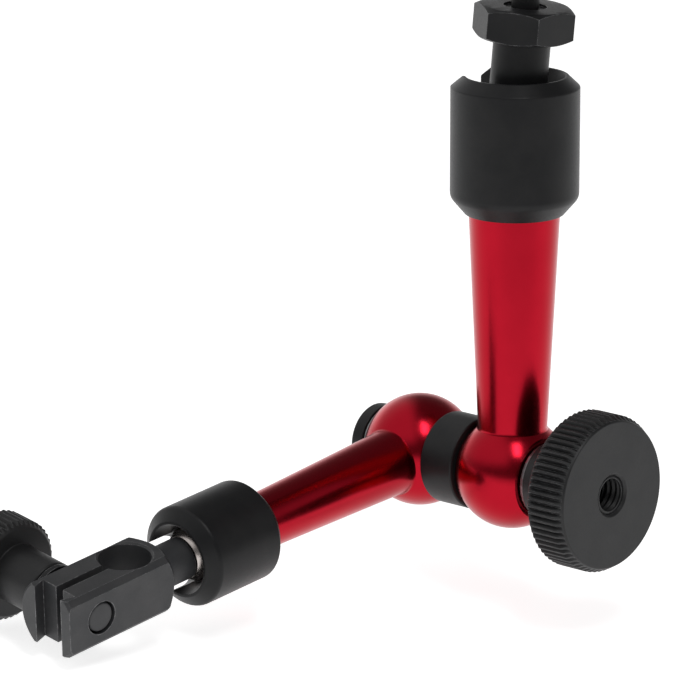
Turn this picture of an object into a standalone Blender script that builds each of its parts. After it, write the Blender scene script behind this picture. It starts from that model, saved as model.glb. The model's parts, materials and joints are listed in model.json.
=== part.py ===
"""Articulated holder arm for a dial indicator, with one central lock knob.

Two red anodised arms turn about a common spindle. The far end of each arm carries a
slotted cap that holds a ball joint: the base ball ends in a hexagon collar with an M6
stud, the tip ball ends in a split clamp for an 8 mm stem or a dovetail. Turning the lock
knob moves the spindle, whose two cones push a rod along each arm against its ball.

Frame: the origin is the centre of the collar's seat face, +Z runs up the M6 stud.
All sizes below are in millimetres, and MM turns them into metres.
"""
import math

import bmesh
import bpy
from mathutils import Matrix, Vector

MM = 0.001
GAP = 0.3                  # clearance between neighbouring pieces
COARSE = 28                # facets round a small turned piece
FINE = 40                  # facets round a large turned piece

# Pose of the joints as modelled, in degrees.
BASE_LEAN = 4.4            # base arm against the stud
BASE_LEAN_AZIMUTH = 30.0   # side of the stud that the arm's lower end leans to
ELBOW_TURN = 96.8          # tip arm about the spindle, from parallel to the base arm
TIP_LEAN = 4.2             # clamp neck against the tip arm, towards the cap's slot
TIP_SIDE_LEAN = -0.8       # clamp neck to one side of the slot's middle
CLAMP_ROLL = -8.5          # clamp about its own neck

# Distances between the joint centres.
SEAT_TO_BALL = 18.0
BASE_PIVOT_TO_BALL = 54.5
TIP_PIVOT_TO_BALL = 49.6
HUB_SPACING = 19.1

# Mount stud.
STUD_RADIUS = 3.0
STUD_RELIEF_RADIUS = 2.1
STUD_RELIEF_LENGTH = 3.2
STUD_LENGTH = 11.0
HEX_ACROSS_FLATS = 13.6
HEX_HEIGHT = 5.0
HEX_TURN = -32.9
HEX_CHAMFER = 0.6
SEAT_RECESS_RADIUS = 3.3
SEAT_RECESS_DEPTH = 0.4
BASE_NECK_RADIUS = 4.35
BASE_BALL_RADIUS = 6.0
BASE_PIN_RADIUS = 2.0

# Base cap, in heights above the base hub's centre.
BASE_CAP_RADIUS = 9.8
BASE_CAP_BOTTOM = 40.6
BASE_CAP_RIM = 7.55
BASE_CAP_CHAMFER_TOP = 43.2
BASE_CAP_SHOULDER = 60.1
BASE_CAP_TOP = 61.8
BASE_MOUTH_RADIUS = 7.6
BASE_CAP_BORE = 6.6
BASE_CAP_ENTRY_RADIUS = 7.25
BASE_LIP_HEIGHT = 2.7      # above the ball's centre
BASE_SLOT_WIDTH = 9.3
BASE_SLOT_AZIMUTH = 192.0

# Tip cap, in distances from the tip hub's centre.
TIP_CAP_RADIUS = 7.85
TIP_CAP_BOTTOM = 38.4
TIP_CAP_RIM = 6.4
TIP_CAP_CHAMFER_TOP = 39.9
TIP_CAP_SHOULDER = 52.5
TIP_CAP_TOP = 54.0
TIP_MOUTH_RADIUS = 5.5
TIP_CAP_BORE = 4.9
TIP_LIP_HEIGHT = 1.8
TIP_SLOT_WIDTH = 8.0
TIP_SLOT_AZIMUTH = 207.0
TIP_BALL_RADIUS = 4.5
TIP_NECK_RADIUS = 3.3
TIP_PIN_RADIUS = 1.5
SEAT_GAP = 0.25            # round a ball

# Arms and hubs.
HUB_RADIUS = 8.75
HUB_HALF_WIDTH = 6.1
HUB_BORE_RADIUS = 4.3
ROD_RADIUS = 2.0
ROD_BORE_RADIUS = 2.35
ROD_START = 3.7
ARM_START = 3.0
BASE_ARM_START_RADIUS = 5.1
BASE_ARM_END_RADIUS = 6.95
BASE_ARM_END = 41.2
BASE_SPIGOT_RADIUS = 6.3
BASE_SPIGOT_END = 44.9
TIP_ARM_START_RADIUS = 5.3
TIP_ARM_END_RADIUS = 4.25
TIP_ARM_END = 39.8
TIP_SPIGOT_RADIUS = 4.6
TIP_SPIGOT_END = 42.2

# Ball cups and disc springs.
DISC_HEIGHT = 0.5
DISC_DISH = 0.2
CUP_FLOOR = 1.4
BASE_CUP_TOP_BELOW_BALL = 4.6
TIP_CUP_TOP_BELOW_BALL = 3.5

# Spindle, ring and lock knob, in distances along the spindle from the base hub's centre.
SPINDLE_RADIUS = 3.0
CONE_LARGE_RADIUS = 4.0
CONE_SMALL_RADIUS = 2.6
CONE_HALF_LENGTH = 2.2
HEAD_RADIUS = 5.65
HEAD_THICKNESS = 2.3
WASHER_THICKNESS = 0.6
WASHER_RADIUS = 5.5
RING_RADIUS = 7.15
RING_BORE = 3.4
KEY_WIDTH = 1.6
KEY_LENGTH = 4.0
RING_PIN_RADIUS = 0.6
RING_PIN_OFFSET = 5.2
KNOB_BOSS_RADIUS = 6.15
KNOB_REAR = 12.7
KNOB_REAR_RADIUS = 11.0
KNOB_GRIP_START = 13.75
KNOB_GRIP_END = 18.65
KNOB_FACE = 20.05
KNOB_FACE_RADIUS = 11.3
KNOB_RADIUS = 12.1
KNOB_THREAD_RADIUS = 2.55
KNOB_THREAD_MOUTH = 2.85
SPINDLE_THREAD_END = 15.5

# Stem clamp, in the frame of the tip ball: z out along the neck, y up, x along the screw.
CLAMP_BACK = -4.7          # the washer's seat
CLAMP_FRONT = 4.8
CLAMP_HALF_HEIGHT = 4.7
CLAMP_START = 8.3
CLAMP_BAR_RADIUS = 6.15
WASHER_SEAT_RADIUS = 4.9
CLAMP_END_CHAMFER = 0.4
CLAMP_END = 29.6
STEM_BORE_RADIUS = 4.0
STEM_BORE_CHAMFER = 0.32
STEM_BORE_X = -0.2
STEM_BORE_Z = 14.3
SLIT_LOW_X = -0.55
SLIT_HIGH_X = 0.95
DOVETAIL_FLOOR = 27.4
DOVETAIL_MIDDLE_X = 0.05
DOVETAIL_HALF_MOUTH = 2.8
DOVETAIL_HALF_FLOOR = 3.5
CLAMP_SCREW_RADIUS = 2.3
CLAMP_SCREW_HOLE = 2.6
CLAMP_SCREW_Z = 23.45
CLAMP_SCREW_FRONT = 4.6
CLAMP_SCREW_END = -18.2
CLAMP_WASHER_THICKNESS = 0.8
CLAMP_BOSS_RADIUS = 4.45
CLAMP_KNOB_FRONT = -14.3
CLAMP_KNOB_REAR = -20.6
CLAMP_KNOB_RADIUS = 7.9
CLAMP_KNOB_CHAMFER = 0.9

MATERIALS = {
    "anodised_red": ((0.42, 0.008, 0.022, 1.0), 0.28, 0.9),
    "black_oxide": ((0.022, 0.023, 0.026, 1.0), 0.42, 0.7),
    "knob_black": ((0.026, 0.026, 0.028, 1.0), 0.48, 0.6),
    "bright_steel": ((0.62, 0.60, 0.58, 1.0), 0.22, 1.0),
    "spring_steel": ((0.34, 0.35, 0.37, 1.0), 0.35, 1.0),
}


def clear_scene():
    for item in list(bpy.data.objects):
        bpy.data.objects.remove(item, do_unlink=True)


def material(name):
    """One Principled material for each finish, made once."""
    found = bpy.data.materials.get(name)
    if found:
        return found
    colour, roughness, metallic = MATERIALS[name]
    made = bpy.data.materials.new(name)
    made.use_nodes = True
    shader = made.node_tree.nodes["Principled BSDF"]
    shader.inputs["Base Color"].default_value = colour
    shader.inputs["Roughness"].default_value = roughness
    shader.inputs["Metallic"].default_value = metallic
    made.diffuse_color = colour
    return made


def pivot(name, parent, place):
    """An empty at a joint's centre, placed in its parent's frame."""
    empty = bpy.data.objects.new(name, None)
    bpy.context.collection.objects.link(empty)
    empty.parent = parent
    empty.matrix_local = place
    return empty


def shift(x=0.0, y=0.0, z=0.0):
    return Matrix.Translation(Vector((x, y, z)) * MM)


def turn(degrees, axis):
    return Matrix.Rotation(math.radians(degrees), 4, axis)


def arc(centre, radius, start, end, steps):
    """Profile points (radius from the axis, height) along an arc round (0, centre)."""
    angles = [math.radians(start + (end - start) * step / steps) for step in range(steps + 1)]
    return [(max(radius * math.cos(angle), 0.0), centre + radius * math.sin(angle))
            for angle in angles]


def add_ring(work, radius, height, segments):
    if radius < 1e-6:
        return [work.verts.new((0.0, 0.0, height * MM))]
    ring = []
    for step in range(segments):
        angle = 2.0 * math.pi * step / segments
        ring.append(work.verts.new((radius * math.cos(angle) * MM,
                                    radius * math.sin(angle) * MM, height * MM)))
    return ring


def join_rings(work, low, high):
    """Faces between two neighbouring rings, either of which may be one point."""
    count = max(len(low), len(high))
    for step in range(count):
        following = (step + 1) % count
        if len(low) == 1 and len(high) == 1:
            return
        if len(low) == 1:
            work.faces.new((low[0], high[following], high[step]))
        elif len(high) == 1:
            work.faces.new((low[step], low[following], high[0]))
        else:
            work.faces.new((low[step], low[following], high[following], high[step]))


def turned_mesh(name, profile, segments):
    """A closed turned solid: the profile runs round its section and is closed by itself."""
    work = bmesh.new()
    rings = [add_ring(work, radius, height, segments) for radius, height in profile]
    for index, ring in enumerate(rings):
        join_rings(work, ring, rings[(index + 1) % len(rings)])
    bmesh.ops.recalc_face_normals(work, faces=work.faces[:])
    mesh = bpy.data.meshes.new(name)
    work.to_mesh(mesh)
    work.free()
    return mesh


def prism_mesh(name, outline, low, high):
    """A straight prism: the outline's (x, z) corners, drawn out along y from low to high."""
    work = bmesh.new()
    near = [work.verts.new((x * MM, low * MM, z * MM)) for x, z in outline]
    far = [work.verts.new((x * MM, high * MM, z * MM)) for x, z in outline]
    work.faces.new(near)
    work.faces.new(far)
    count = len(outline)
    for step in range(count):
        following = (step + 1) % count
        work.faces.new((near[step], near[following], far[following], far[step]))
    bmesh.ops.recalc_face_normals(work, faces=work.faces[:])
    mesh = bpy.data.meshes.new(name)
    work.to_mesh(mesh)
    work.free()
    return mesh


def place_object(name, mesh, parent, place):
    item = bpy.data.objects.new(name, mesh)
    bpy.context.collection.objects.link(item)
    item.parent = parent
    item.matrix_local = place
    return item


def piece(name, mesh, finish, parent=None, place=None):
    """A finished piece: an object with its own material, shaded smooth but for its edges."""
    item = place_object(name, mesh, parent, place or Matrix.Identity(4))
    mesh.materials.append(material(finish))
    mesh.shade_smooth()
    mesh.set_sharp_from_angle(angle=math.radians(30.0))
    return item


def cut(item, mesh, place, operation="DIFFERENCE"):
    """Cut, join or intersect an item with a tool mesh placed in the item's own frame."""
    tool = place_object(item.name + "_tool", mesh, item, place)
    tool.hide_render = True
    tool.display_type = "WIRE"
    change = item.modifiers.new(operation.lower(), "BOOLEAN")
    change.object = tool
    change.operation = operation
    change.solver = "EXACT"


def cylinder_mesh(radius, low, high, segments=COARSE):
    return turned_mesh("cylinder", [(0.0, low), (radius, low), (radius, high), (0.0, high)],
                       segments)


def box_mesh(x_range, y_range, z_range):
    outline = [(x_range[0], z_range[0]), (x_range[1], z_range[0]),
               (x_range[1], z_range[1]), (x_range[0], z_range[1])]
    return prism_mesh("box", outline, y_range[0], y_range[1])


ALONG_X = turn(90.0, "Y")      # turns a piece's own z axis to +x
ALONG_Y = turn(-90.0, "X")     # turns a piece's own z axis to +y


def ball_mesh(radius, neck_radius, pin_radius):
    """A ball with a flat where its neck meets it and a blind hole for the neck's pin."""
    flat = math.sqrt(radius ** 2 - neck_radius ** 2)
    flat_angle = math.degrees(math.asin(flat / radius))
    hole = pin_radius + GAP
    outside = arc(0.0, radius, -90.0, flat_angle, 11)
    return turned_mesh("ball", outside + [(hole, flat), (hole, 0.5), (0.0, 0.5)], COARSE)


def neck_profile(ball_radius, neck_radius, pin_radius, neck_end):
    """The neck's section from its pin inside the ball to its far end."""
    flat = math.sqrt(ball_radius ** 2 - neck_radius ** 2) + GAP
    return [(0.0, 0.8), (pin_radius, 0.8), (pin_radius, flat), (neck_radius, flat),
            (neck_radius, neck_end)]


def hexagon_mesh():
    """Hexagon collar with both ends chamfered to a cone, its seat face at z = 0."""
    corner = HEX_ACROSS_FLATS / 2.0 / math.cos(math.radians(30.0))
    flat_face = HEX_ACROSS_FLATS / 2.0 - 0.15
    low = SEAT_TO_BALL - HEX_HEIGHT
    outline = []
    for step in range(6):
        angle = math.radians(HEX_TURN + 60.0 * step)
        outline.append((corner * math.cos(angle), -corner * math.sin(angle)))
    prism = prism_mesh("hexagon", outline, low, SEAT_TO_BALL)
    recess = SEAT_TO_BALL - SEAT_RECESS_DEPTH
    cones = [(0.0, low), (flat_face, low), (corner + 0.05, low + HEX_CHAMFER),
             (corner + 0.05, SEAT_TO_BALL - HEX_CHAMFER), (flat_face, SEAT_TO_BALL),
             (SEAT_RECESS_RADIUS, SEAT_TO_BALL), (SEAT_RECESS_RADIUS, recess), (0.0, recess)]
    return prism, turned_mesh("hexagon_cones", cones, FINE)


def mount_stud():
    """Neck, hexagon collar and M6 stud, one turned piece; z runs up from the ball centre."""
    seat = SEAT_TO_BALL
    top = seat + STUD_LENGTH
    relief_end = seat + STUD_RELIEF_LENGTH
    profile = neck_profile(BASE_BALL_RADIUS, BASE_NECK_RADIUS, BASE_PIN_RADIUS, seat - 1.0)
    profile += [(STUD_RELIEF_RADIUS, seat - 1.0), (STUD_RELIEF_RADIUS, relief_end),
                (STUD_RADIUS, relief_end + 0.6), (STUD_RADIUS, top - 0.7),
                (STUD_RADIUS - 0.7, top), (0.0, top)]
    stud = piece("mount_stud", turned_mesh("mount_stud", profile, COARSE), "black_oxide",
                 None, shift(z=-SEAT_TO_BALL))
    prism, cones = hexagon_mesh()
    collar = place_object("collar_tool", prism, stud, ALONG_Y.inverted())
    collar.hide_render = True
    collar.display_type = "WIRE"
    trim = collar.modifiers.new("cones", "BOOLEAN")
    trim.operation = "INTERSECT"
    trim.solver = "EXACT"
    trim.object = place_object("cones_tool", cones, stud, Matrix.Identity(4))
    trim.object.hide_render = True
    trim.object.display_type = "WIRE"
    join = stud.modifiers.new("collar", "BOOLEAN")
    join.operation = "UNION"
    join.solver = "EXACT"
    join.object = collar


def cap_profile(radius, bottom, rim, chamfer_top, shoulder, top, mouth, bore, entry,
                ball_height, ball_radius, lip_height):
    """Section of a ball cap: chamfered sleeve outside, bore, ball seat and open mouth."""
    seat_radius = ball_radius + SEAT_GAP
    lip_angle = math.degrees(math.asin(lip_height / seat_radius))
    seat = arc(ball_height, seat_radius, 0.0, lip_angle, 3)
    outside = [(rim, bottom), (radius, chamfer_top), (radius, shoulder), (mouth + 0.4, top)]
    inside = [(mouth, top)] + seat[::-1] + [(bore, ball_height - 0.5),
                                           (bore, chamfer_top - 1.2), (entry, chamfer_top - 1.6),
                                           (entry, bottom)]
    return outside + inside


def cut_slot(cap, width, azimuth, ball_height, top, reach):
    """Slot that lets the neck swing out to one side, round at its floor."""
    direction = turn(azimuth, "Z")
    floor = cylinder_mesh(width / 2.0, 0.0, reach)
    cut(cap, floor, direction @ shift(z=ball_height) @ ALONG_X)
    opening = box_mesh((0.0, reach), (-width / 2.0, width / 2.0), (ball_height, top + 1.0))
    cut(cap, opening, direction)


def arm_mesh(start_radius, end_radius, end, spigot_radius, spigot_end):
    """Tapered arm with the threaded spigot that carries its cap."""
    profile = [(0.0, ARM_START), (start_radius, ARM_START), (end_radius, end),
               (spigot_radius, end), (spigot_radius, spigot_end - 0.4),
               (spigot_radius - 0.4, spigot_end), (0.0, spigot_end)]
    return turned_mesh("arm", profile, FINE)


def hub_mesh():
    """Ball-shaped hub; its poles lie on the spindle so that the flats cut cleanly."""
    return turned_mesh("hub", arc(0.0, HUB_RADIUS, -90.0, 90.0, 18), FINE)


def arm(name, parent, place, sizes):
    """One arm: a hub with flats and a cross bore, and a tapered stem with its rod bore."""
    item = piece(name, hub_mesh(), "anodised_red", parent, place @ ALONG_X)
    upright = ALONG_X.inverted()
    cut(item, arm_mesh(*sizes), upright, "UNION")
    side = 2.0 * HUB_RADIUS
    for outward in (-1.0, 1.0):
        near, far = sorted((outward * HUB_HALF_WIDTH, outward * side))
        cut(item, box_mesh((-side, side), (-side, side), (near, far)), Matrix.Identity(4))
    cut(item, cylinder_mesh(HUB_BORE_RADIUS, -side, side), Matrix.Identity(4))
    cut(item, cylinder_mesh(ROD_BORE_RADIUS, 0.0, sizes[-1] + 5.0), upright)
    return item


def push_rod(name, parent, place, end):
    """Rod that carries the spindle's thrust to the cup; its inner end is round."""
    nose = arc(ROD_START + ROD_RADIUS, ROD_RADIUS, -90.0, 0.0, 4)
    profile = nose + [(ROD_RADIUS, end), (0.0, end)]
    piece(name, turned_mesh(name, profile, COARSE), "spring_steel", parent, place)


def ball_cup(name, parent, place, radius, ball_height, ball_radius, top_below_ball):
    """Cup with a round seat that the rod presses against the ball."""
    seat_radius = ball_radius + SEAT_GAP
    floor = ball_height - seat_radius - CUP_FLOOR
    edge_angle = -math.degrees(math.asin(top_below_ball / seat_radius))
    seat = arc(ball_height, seat_radius, edge_angle, -90.0, 4)
    profile = [(0.0, floor), (radius, floor), (radius, ball_height - top_below_ball)] + seat
    piece(name, turned_mesh(name, profile, COARSE), "bright_steel", parent, place)
    return floor


def disc_spring(name, parent, place, radius, low, outer_rise):
    """Dished spring washer between the spigot and the cup; its outer edge rises or falls."""
    inner = ROD_RADIUS + 0.4
    inner_low = low + max(-outer_rise, 0.0)
    outer_low = low + max(outer_rise, 0.0)
    thickness = DISC_HEIGHT - abs(outer_rise)
    profile = [(inner, inner_low), (radius, outer_low), (radius, outer_low + thickness),
               (inner, inner_low + thickness)]
    piece(name, turned_mesh(name, profile, COARSE), "spring_steel", parent, place)


def spindle(parent, place):
    """Headed spindle with two cones, a keyway and an M6 end; z runs along the spindle."""
    head_far = -HUB_SPACING - HUB_HALF_WIDTH - 2.0 * GAP - WASHER_THICKNESS
    head_end = head_far - HEAD_THICKNESS
    profile = [(0.0, head_end), (HEAD_RADIUS - 0.5, head_end), (HEAD_RADIUS, head_end + 0.5),
               (HEAD_RADIUS, head_far), (SPINDLE_RADIUS, head_far)]
    for centre in (-HUB_SPACING, 0.0):
        profile += [(SPINDLE_RADIUS, centre - CONE_HALF_LENGTH - 1.2),
                    (CONE_LARGE_RADIUS, centre - CONE_HALF_LENGTH),
                    (CONE_SMALL_RADIUS, centre + CONE_HALF_LENGTH),
                    (SPINDLE_RADIUS - 0.1, centre + CONE_HALF_LENGTH + 0.5)]
    profile += [(SPINDLE_RADIUS - 0.1, SPINDLE_THREAD_END - 0.6),
                (SPINDLE_RADIUS - 0.7, SPINDLE_THREAD_END), (0.0, SPINDLE_THREAD_END)]
    item = piece("spindle", turned_mesh("spindle", profile, COARSE), "black_oxide",
                 parent, place @ ALONG_X)
    middle = -HUB_SPACING / 2.0
    slack = KEY_LENGTH / 2.0 + 1.0
    half = KEY_WIDTH / 2.0 + GAP
    cut(item, box_mesh((1.7, 5.0), (-half, half), (middle - slack, middle + slack)),
        Matrix.Identity(4))


def washer(name, parent, place, inner, outer, low, thickness):
    profile = [(inner, low), (outer, low), (outer, low + thickness), (inner, low + thickness)]
    piece(name, turned_mesh(name, profile, COARSE), "spring_steel", parent, place @ ALONG_X)


def spacer_ring(parent, place):
    """Ring between the hubs; a key in its bore and a pin in its end keep it from turning."""
    low = -HUB_SPACING + HUB_HALF_WIDTH + GAP
    high = -HUB_HALF_WIDTH - GAP
    edge = 0.25
    profile = [(RING_BORE, low), (RING_RADIUS - edge, low), (RING_RADIUS, low + edge),
               (RING_RADIUS, high - edge), (RING_RADIUS - edge, high), (RING_BORE, high)]
    item = piece("spacer_ring", turned_mesh("spacer_ring", profile, FINE), "black_oxide",
                 parent, place @ ALONG_X)
    half = KEY_WIDTH / 2.0 + GAP
    cut(item, box_mesh((2.0, RING_BORE + 1.5), (-half, half), (low - 1.0, high + 1.0)),
        Matrix.Identity(4))
    pin_hole = cylinder_mesh(RING_PIN_RADIUS + GAP, high - 1.8, high + 1.0, 16)
    cut(item, pin_hole, shift(y=RING_PIN_OFFSET))


def ring_key(parent, place):
    middle = -HUB_SPACING / 2.0
    half_width = KEY_WIDTH / 2.0
    half_length = KEY_LENGTH / 2.0
    mesh = box_mesh((2.0, RING_BORE + 1.2), (-half_width, half_width),
                    (middle - half_length, middle + half_length))
    piece("ring_key", mesh, "bright_steel", parent, place @ ALONG_X)


def ring_pin(parent, place):
    """Dowel between the ring and the base hub."""
    face = -HUB_HALF_WIDTH
    mesh = cylinder_mesh(RING_PIN_RADIUS, face - 1.7, face + 1.2, 16)
    piece("ring_pin", mesh, "bright_steel", parent, place @ ALONG_X @ shift(y=RING_PIN_OFFSET))


def lock_knob(parent, place):
    """Knurled knob with a long boss; the knurl is left to the finish."""
    boss_start = HUB_HALF_WIDTH + WASHER_THICKNESS + 2.0 * GAP
    clearance = SPINDLE_RADIUS + 0.2
    throat = SPINDLE_THREAD_END + 0.4
    profile = [(clearance, boss_start), (KNOB_BOSS_RADIUS, boss_start),
               (KNOB_BOSS_RADIUS, KNOB_REAR), (KNOB_REAR_RADIUS, KNOB_REAR),
               (KNOB_RADIUS, KNOB_GRIP_START), (KNOB_RADIUS, KNOB_GRIP_END),
               (KNOB_FACE_RADIUS, KNOB_FACE), (KNOB_THREAD_MOUTH, KNOB_FACE),
               (KNOB_THREAD_RADIUS, KNOB_FACE - 0.3), (KNOB_THREAD_RADIUS, throat),
               (clearance, throat)]
    piece("lock_knob", turned_mesh("lock_knob", profile, 56), "knob_black",
          parent, place @ ALONG_X)


def stem_clamp(parent):
    """Neck and split block, milled from a round bar: bore, slit, dovetail and screw hole."""
    bar = CLAMP_BAR_RADIUS
    block = [(0.0, CLAMP_START), (3.9, CLAMP_START), (4.8, CLAMP_START + 0.85),
             (bar, CLAMP_START + 1.8), (bar, CLAMP_END - CLAMP_END_CHAMFER),
             (bar - CLAMP_END_CHAMFER, CLAMP_END), (0.0, CLAMP_END)]
    item = piece("stem_clamp", turned_mesh("stem_clamp", block, FINE), "black_oxide", parent)
    cut(item, box_mesh((-bar - 1.0, CLAMP_FRONT), (-CLAMP_HALF_HEIGHT, CLAMP_HALF_HEIGHT),
                       (0.0, CLAMP_END + 5.0)), Matrix.Identity(4), "INTERSECT")
    neck = neck_profile(TIP_BALL_RADIUS, TIP_NECK_RADIUS, TIP_PIN_RADIUS, CLAMP_START + 1.0)
    cut(item, turned_mesh("neck", neck + [(0.0, CLAMP_START + 1.0)], COARSE),
        Matrix.Identity(4), "UNION")
    tall = CLAMP_HALF_HEIGHT + 2.0
    face = CLAMP_HALF_HEIGHT
    wide = STEM_BORE_RADIUS + STEM_BORE_CHAMFER
    flare = 0.2
    bore = [(0.0, -tall), (wide + flare, -face - flare), (STEM_BORE_RADIUS, -face + STEM_BORE_CHAMFER),
            (STEM_BORE_RADIUS, face - STEM_BORE_CHAMFER), (wide + flare, face + flare), (0.0, tall)]
    cut(item, turned_mesh("stem_bore", bore, FINE),
        shift(x=STEM_BORE_X, z=STEM_BORE_Z) @ ALONG_Y)
    cut(item, box_mesh((SLIT_LOW_X, SLIT_HIGH_X), (-tall, tall), (STEM_BORE_Z, CLAMP_END + 1.0)),
        Matrix.Identity(4))
    slope = (DOVETAIL_HALF_FLOOR - DOVETAIL_HALF_MOUTH) / (CLAMP_END - DOVETAIL_FLOOR)
    beyond = DOVETAIL_HALF_MOUTH - slope
    groove = [(-DOVETAIL_HALF_FLOOR, DOVETAIL_FLOOR), (DOVETAIL_HALF_FLOOR, DOVETAIL_FLOOR),
              (beyond, CLAMP_END + 1.0), (-beyond, CLAMP_END + 1.0)]
    cut(item, prism_mesh("dovetail", groove, -tall, tall), shift(x=DOVETAIL_MIDDLE_X))
    cut(item, cylinder_mesh(WASHER_SEAT_RADIUS, -bar - 1.0, CLAMP_BACK),
        shift(z=CLAMP_SCREW_Z) @ ALONG_X)
    cut(item, cylinder_mesh(CLAMP_SCREW_HOLE, CLAMP_BACK - 1.0, CLAMP_FRONT + 1.0),
        shift(z=CLAMP_SCREW_Z) @ ALONG_X)


def clamp_knob_set(parent):
    """Screw, washer and knurled knob that close the clamp; x runs along the screw."""
    screw = [(0.0, CLAMP_SCREW_END), (CLAMP_SCREW_RADIUS, CLAMP_SCREW_END),
             (CLAMP_SCREW_RADIUS, CLAMP_SCREW_FRONT - 0.3),
             (CLAMP_SCREW_RADIUS - 0.3, CLAMP_SCREW_FRONT), (0.0, CLAMP_SCREW_FRONT)]
    piece("clamp_screw", turned_mesh("clamp_screw", screw, COARSE), "black_oxide",
          parent, ALONG_X)
    washer_low = CLAMP_BACK - GAP - CLAMP_WASHER_THICKNESS
    washer("clamp_washer", parent, Matrix.Identity(4), CLAMP_SCREW_HOLE, CLAMP_BOSS_RADIUS,
           washer_low, CLAMP_WASHER_THICKNESS)
    boss_front = washer_low - GAP
    rim = CLAMP_KNOB_RADIUS - CLAMP_KNOB_CHAMFER
    profile = [(CLAMP_SCREW_HOLE, boss_front), (CLAMP_SCREW_HOLE, CLAMP_SCREW_END - GAP),
               (0.0, CLAMP_SCREW_END - GAP), (0.0, CLAMP_KNOB_REAR), (rim, CLAMP_KNOB_REAR),
               (CLAMP_KNOB_RADIUS, CLAMP_KNOB_REAR + CLAMP_KNOB_CHAMFER),
               (CLAMP_KNOB_RADIUS, CLAMP_KNOB_FRONT - CLAMP_KNOB_CHAMFER),
               (rim, CLAMP_KNOB_FRONT), (CLAMP_BOSS_RADIUS, CLAMP_KNOB_FRONT),
               (CLAMP_BOSS_RADIUS, boss_front)]
    piece("clamp_knob", turned_mesh("clamp_knob", profile, 48), "knob_black", parent, ALONG_X)


def base_arm_set(base_ball):
    """Everything that rides on the base arm; z runs up from the base hub's centre."""
    hub = shift(z=-BASE_PIVOT_TO_BALL)
    sizes = (BASE_ARM_START_RADIUS, BASE_ARM_END_RADIUS, BASE_ARM_END, BASE_SPIGOT_RADIUS,
             BASE_SPIGOT_END)
    item = arm("base_arm", base_ball, hub, sizes)
    pin_hole = cylinder_mesh(RING_PIN_RADIUS + GAP, -HUB_HALF_WIDTH - 1.0,
                             -HUB_HALF_WIDTH + 1.5, 16)
    cut(item, pin_hole, shift(y=RING_PIN_OFFSET))
    profile = cap_profile(BASE_CAP_RADIUS, BASE_CAP_BOTTOM, BASE_CAP_RIM, BASE_CAP_CHAMFER_TOP,
                          BASE_CAP_SHOULDER, BASE_CAP_TOP, BASE_MOUTH_RADIUS, BASE_CAP_BORE,
                          BASE_CAP_ENTRY_RADIUS, BASE_PIVOT_TO_BALL, BASE_BALL_RADIUS,
                          BASE_LIP_HEIGHT)
    cap = piece("base_cap", turned_mesh("base_cap", profile, FINE), "black_oxide",
                base_ball, hub)
    cut_slot(cap, BASE_SLOT_WIDTH, BASE_SLOT_AZIMUTH, BASE_PIVOT_TO_BALL, BASE_CAP_TOP, 15.0)
    floor = ball_cup("base_ball_cup", base_ball, hub, BASE_CAP_BORE - GAP,
                     BASE_PIVOT_TO_BALL, BASE_BALL_RADIUS, BASE_CUP_TOP_BELOW_BALL)
    push_rod("base_push_rod", base_ball, hub, floor - GAP)
    lower = BASE_SPIGOT_END + GAP
    disc_spring("base_disc_spring_1", base_ball, hub, 5.6, lower, DISC_DISH)
    disc_spring("base_disc_spring_2", base_ball, hub, 5.6, lower + DISC_HEIGHT + GAP, -DISC_DISH)
    spindle(base_ball, hub)
    spacer_ring(base_ball, hub)
    ring_key(base_ball, hub)
    ring_pin(base_ball, hub)
    head_face = -HUB_SPACING - HUB_HALF_WIDTH
    washer("head_washer", base_ball, hub, SPINDLE_RADIUS + GAP, WASHER_RADIUS,
           head_face - GAP - WASHER_THICKNESS, WASHER_THICKNESS)
    washer("knob_washer", base_ball, hub, SPINDLE_RADIUS + GAP, WASHER_RADIUS,
           HUB_HALF_WIDTH + GAP, WASHER_THICKNESS)
    lock_knob(base_ball, hub)


def tip_arm_set(elbow):
    """Everything that rides on the tip arm; z runs out from the tip hub's centre."""
    here = Matrix.Identity(4)
    sizes = (TIP_ARM_START_RADIUS, TIP_ARM_END_RADIUS, TIP_ARM_END, TIP_SPIGOT_RADIUS,
             TIP_SPIGOT_END)
    arm("tip_arm", elbow, here, sizes)
    profile = cap_profile(TIP_CAP_RADIUS, TIP_CAP_BOTTOM, TIP_CAP_RIM, TIP_CAP_CHAMFER_TOP,
                          TIP_CAP_SHOULDER, TIP_CAP_TOP, TIP_MOUTH_RADIUS, TIP_CAP_BORE,
                          TIP_CAP_BORE, TIP_PIVOT_TO_BALL, TIP_BALL_RADIUS, TIP_LIP_HEIGHT)
    cap = piece("tip_cap", turned_mesh("tip_cap", profile, FINE), "black_oxide", elbow, here)
    cut_slot(cap, TIP_SLOT_WIDTH, TIP_SLOT_AZIMUTH, TIP_PIVOT_TO_BALL, TIP_CAP_TOP, 12.0)
    floor = ball_cup("tip_ball_cup", elbow, here, TIP_CAP_BORE - GAP, TIP_PIVOT_TO_BALL,
                     TIP_BALL_RADIUS, TIP_CUP_TOP_BELOW_BALL)
    push_rod("tip_push_rod", elbow, here, floor - GAP)
    disc_spring("tip_disc_spring", elbow, here, 4.3, TIP_SPIGOT_END + GAP, DISC_DISH)


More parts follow.
